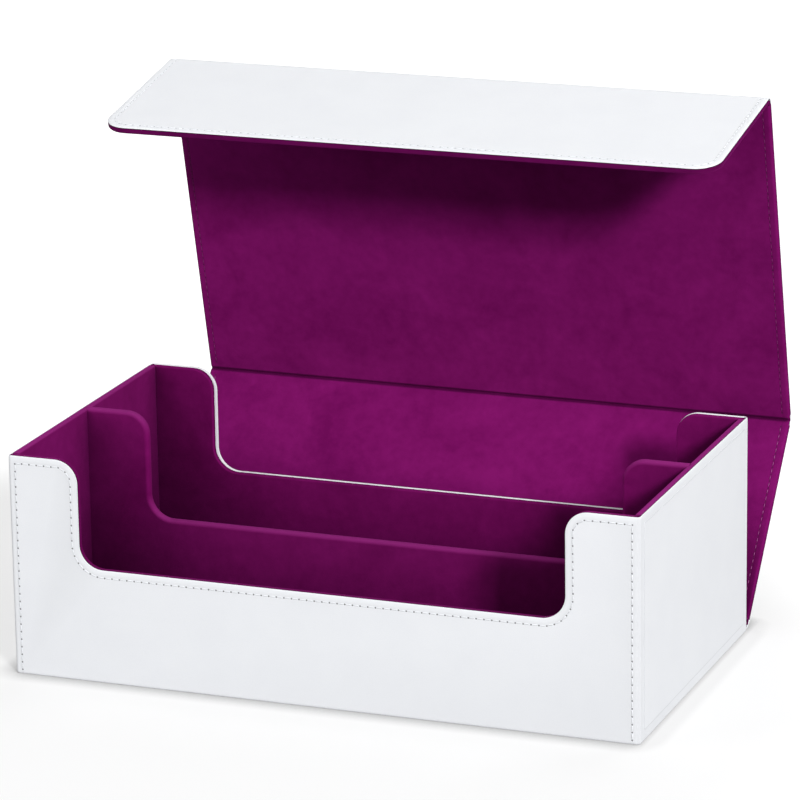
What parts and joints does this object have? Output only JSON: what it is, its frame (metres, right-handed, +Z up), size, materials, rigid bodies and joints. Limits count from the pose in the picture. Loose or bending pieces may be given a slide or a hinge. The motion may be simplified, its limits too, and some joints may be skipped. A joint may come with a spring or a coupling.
{
  "type": "hinged-lid card storage box",
  "caption": "Leather-covered board box with two lengthwise lined bays, U-shaped finger cut-outs and a fold-over magnetic cover of three hinged panels.",
  "frame": {"origin": "middle of the box's underside, on the surface that the box stands on", "axes": "+X to the right along the box's length, +Y towards the cover's hinge at the back, +Z up"},
  "size_m": [0.3058, 0.2395, 0.2515],
  "materials": {
    "white_leather": "fine-grained satin",
    "purple_lining": "napped microfibre",
    "grey_board": "matte",
    "magnet_plating": "nickel plated"
  },
  "bodies": {
    "box": {"front_board": "grey_board", "back_board": "grey_board", "left_board": "grey_board", "right_board": "grey_board", "base_board": "grey_board", "divider_board": "grey_board", "front_leather": "white_leather", "back_leather": "white_leather", "left_side_patch": "white_leather", "right_side_patch": "white_leather", "base_leather": "white_leather", "front_lining": "purple_lining", "back_lining": "purple_lining", "left_lining": "purple_lining", "right_lining": "purple_lining", "front_bay_floor": "purple_lining", "rear_bay_floor": "purple_lining", "divider_lining": "purple_lining", "front_magnets": "magnet_plating", "base_hinge_leather": "white_leather", "base_hinge_lining": "purple_lining"},
    "cover_back": {"cover_back_board": "grey_board", "cover_back_leather": "white_leather", "cover_back_lining": "purple_lining", "rear_fold_leather": "white_leather", "rear_fold_lining": "purple_lining"},
    "cover_lid": {"cover_lid_board": "grey_board", "cover_lid_leather": "white_leather", "cover_lid_lining": "purple_lining", "flap_fold_leather": "white_leather", "flap_fold_lining": "purple_lining"},
    "cover_flap": {"cover_flap_board": "grey_board", "cover_flap_leather": "white_leather", "cover_flap_lining": "purple_lining", "flap_magnets": "magnet_plating"}
  },
  "joints": [
    {"name": "base_hinge", "type": "hinge", "parent": "box", "child": "cover_back", "pos_m": [0, 0.0863, 0.0008], "axis": [1, 0, 0], "range_deg": [-49.5, 40.5], "deforming": ["base_hinge_leather", "base_hinge_lining"]},
    {"name": "rear_fold", "type": "hinge", "parent": "cover_back", "child": "cover_lid", "pos_m": [0, 0.1567, 0.08323], "axis": [1, 0, 0], "range_deg": [-53.8, 36.2], "deforming": ["rear_fold_leather", "rear_fold_lining"]},
    {"name": "flap_fold", "type": "hinge", "parent": "cover_lid", "child": "cover_flap", "pos_m": [0, 0.11699, 0.2512], "axis": [1, 0, 0], "range_deg": [-86.8, 3.2], "deforming": ["flap_fold_leather", "flap_fold_lining"]}
  ]
}
